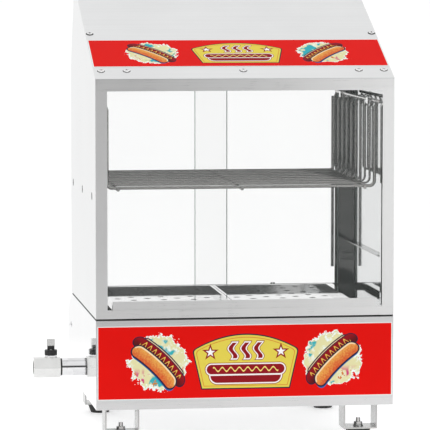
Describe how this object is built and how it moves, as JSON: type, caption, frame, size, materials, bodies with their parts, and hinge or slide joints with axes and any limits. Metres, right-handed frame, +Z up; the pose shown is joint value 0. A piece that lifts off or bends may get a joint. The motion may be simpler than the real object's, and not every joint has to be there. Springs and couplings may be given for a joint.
{
  "type": "hot dog steamer",
  "caption": "Countertop hot dog steamer: water-heated base with drain valve, perforated trays, wire bun rack, sloped roof, glass front and sliding rear glass doors.",
  "frame": {"origin": "on the floor under the feet, at the centre of the whole footprint, drain valve and cable gland included", "axes": "+Z up, front glass faces -Y, the drain valve stands out towards -X"},
  "size_m": [0.4588, 0.4244, 0.6],
  "materials": {
    "steel_base": "brushed",
    "steel_cabinet": "polished",
    "steel_fine": "satin",
    "steel_wire": "polished",
    "chrome": "polished",
    "glass": "clear",
    "rubber_black": "matt",
    "plastic_black": "matt",
    "plastic_red": "gloss",
    "plastic_amber": "gloss",
    "plastic_ivory": "matt",
    "print_red": "gloss printed film",
    "brass": "satin",
    "heater": "matt"
  },
  "bodies": {
    "cabinet": {"base_shell": "steel_base", "base_bottom_plate": "steel_base", "base_top_deck": "steel_base", "control_panel": "steel_base", "base_decal": "print_red", "water_tank": "steel_fine", "heating_element": "heater", "heater_nuts": "brass", "seam_gasket": "rubber_black", "foot_brackets": "steel_fine", "rubber_feet": "rubber_black", "foot_studs": "steel_fine", "drain_nipple": "chrome", "drain_sleeve": "chrome", "valve_gasket": "rubber_black", "valve_body": "chrome", "valve_collar": "chrome", "side_panel_left": "steel_cabinet", "side_panel_right": "steel_cabinet", "front_top_rail": "steel_cabinet", "front_sill_rail": "steel_base", "glass_channel": "steel_fine", "front_glass": "glass", "floor_frame": "steel_fine", "side_ledges": "steel_fine", "centre_rail": "steel_fine", "roof_panel": "steel_cabinet", "roof_decal": "print_red", "roof_screws": "chrome", "roof_top_screws": "plastic_black", "rear_top_rail": "steel_cabinet", "rear_bottom_track": "steel_fine", "rear_top_track": "steel_fine", "rack_hangers": "steel_fine", "wall_rails": "steel_fine", "thermostat_body": "plastic_black", "switch_housing": "plastic_black", "indicator_lamp": "plastic_amber", "limiter_housing": "plastic_black", "cable_gland": "plastic_black", "terminal_block": "plastic_ivory", "side_screws": "chrome"},
    "door_left": {"door_left_glass": "glass", "door_left_pull": "steel_fine"},
    "door_right": {"door_right_glass": "glass", "door_right_pull": "steel_fine"},
    "tray_left": {"tray_left": "steel_fine"},
    "tray_right": {"tray_right": "steel_fine"},
    "bun_rack": {"rack_deck": "steel_wire", "rack_end_left": "steel_wire", "rack_end_right": "steel_wire"},
    "valve_spindle": {"valve_ball": "chrome", "valve_stem": "chrome", "valve_cap": "plastic_black", "valve_lever": "chrome"},
    "thermostat_knob": {"thermostat_knob": "plastic_black", "thermostat_shaft": "steel_fine"},
    "power_rocker": {"power_rocker": "plastic_red"},
    "reset_button": {"reset_button": "plastic_red"}
  },
  "joints": [
    {"name": "door_left_slide", "type": "slide", "parent": "cabinet", "child": "door_left", "axis": [1, 0, 0], "range_m": [0, 0.155]},
    {"name": "door_right_slide", "type": "slide", "parent": "cabinet", "child": "door_right", "axis": [1, 0, 0], "range_m": [-0.155, 0]},
    {"name": "tray_left_lift", "type": "slide", "parent": "cabinet", "child": "tray_left", "axis": [0, 0, 1], "range_m": [0, 0.03]},
    {"name": "tray_right_lift", "type": "slide", "parent": "cabinet", "child": "tray_right", "axis": [0, 0, 1], "range_m": [0, 0.03]},
    {"name": "bun_rack_lift", "type": "slide", "parent": "cabinet", "child": "bun_rack", "axis": [0, 0, 1], "range_m": [0, 0.008]},
    {"name": "drain_lever_turn", "type": "hinge", "parent": "cabinet", "child": "valve_spindle", "pos_m": [-0.20442, 0.11517, 0.0655], "axis": [0, 0, 1], "range_deg": [0, 90]},
    {"name": "thermostat_turn", "type": "hinge", "parent": "cabinet", "child": "thermostat_knob", "pos_m": [0.12258, 0.16118, 0.1553], "axis": [0, -0.4419, -0.8971], "range_deg": [0, 270]},
    {"name": "power_rocker_tilt", "type": "hinge", "parent": "cabinet", "child": "power_rocker", "pos_m": [-0.06742, 0.16118, 0.1553], "axis": [1, 0, 0], "range_deg": [0, 18]},
    {"name": "reset_press", "type": "slide", "parent": "cabinet", "child": "reset_button", "axis": [0, -0.4419, -0.8971], "range_m": [0, 0.002], "stiffness_N_per_m": 800, "springref_m": -0.0015}
  ]
}
